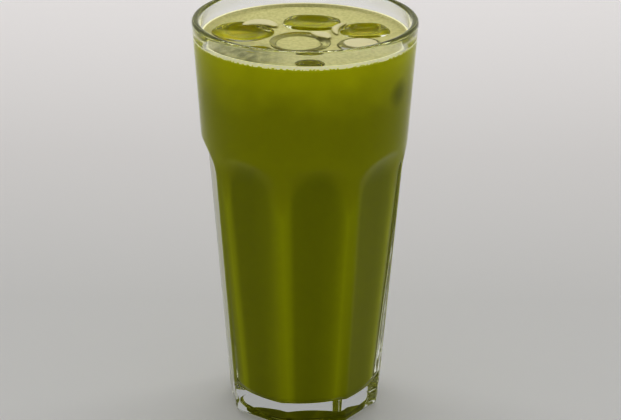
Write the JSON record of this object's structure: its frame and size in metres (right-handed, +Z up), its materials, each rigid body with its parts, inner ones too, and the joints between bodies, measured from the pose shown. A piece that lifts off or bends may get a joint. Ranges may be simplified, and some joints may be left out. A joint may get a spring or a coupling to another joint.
{
  "type": "iced matcha latte in a tall glass",
  "caption": "Tall clear tumbler with flat panels ending in arches, filled with iced green matcha latte, pale foam and melting ice.",
  "frame": {"origin": "centre of the base, on the surface that the glass stands on", "axes": "+Z up along the glass's axis, -Y towards the viewer of the picture, +X to the viewer's right"},
  "size_m": [0.0878, 0.0878, 0.1624],
  "materials": {
    "clear_glass": "clear pressed glass, smooth and bright, with softly rounded panel edges",
    "matcha_drink": "opaque olive green liquid, wet and smooth",
    "pale_foam": "pale yellow-green froth of fine bubbles",
    "wet_ice": "clear melting ice, wet and rounded, tinted by the drink around it"
  },
  "bodies": {
    "root": {"glass": "clear_glass", "drink": "matcha_drink", "foam": "pale_foam", "foam_in_middle_ice": "pale_foam", "foam_on_front_right_ice": "pale_foam", "ice_middle": "wet_ice", "ice_left": "wet_ice", "ice_back": "wet_ice", "ice_right": "wet_ice", "ice_front_right": "wet_ice", "ice_front_left": "wet_ice", "ice_front": "wet_ice"}
  },
  "joints": []
}
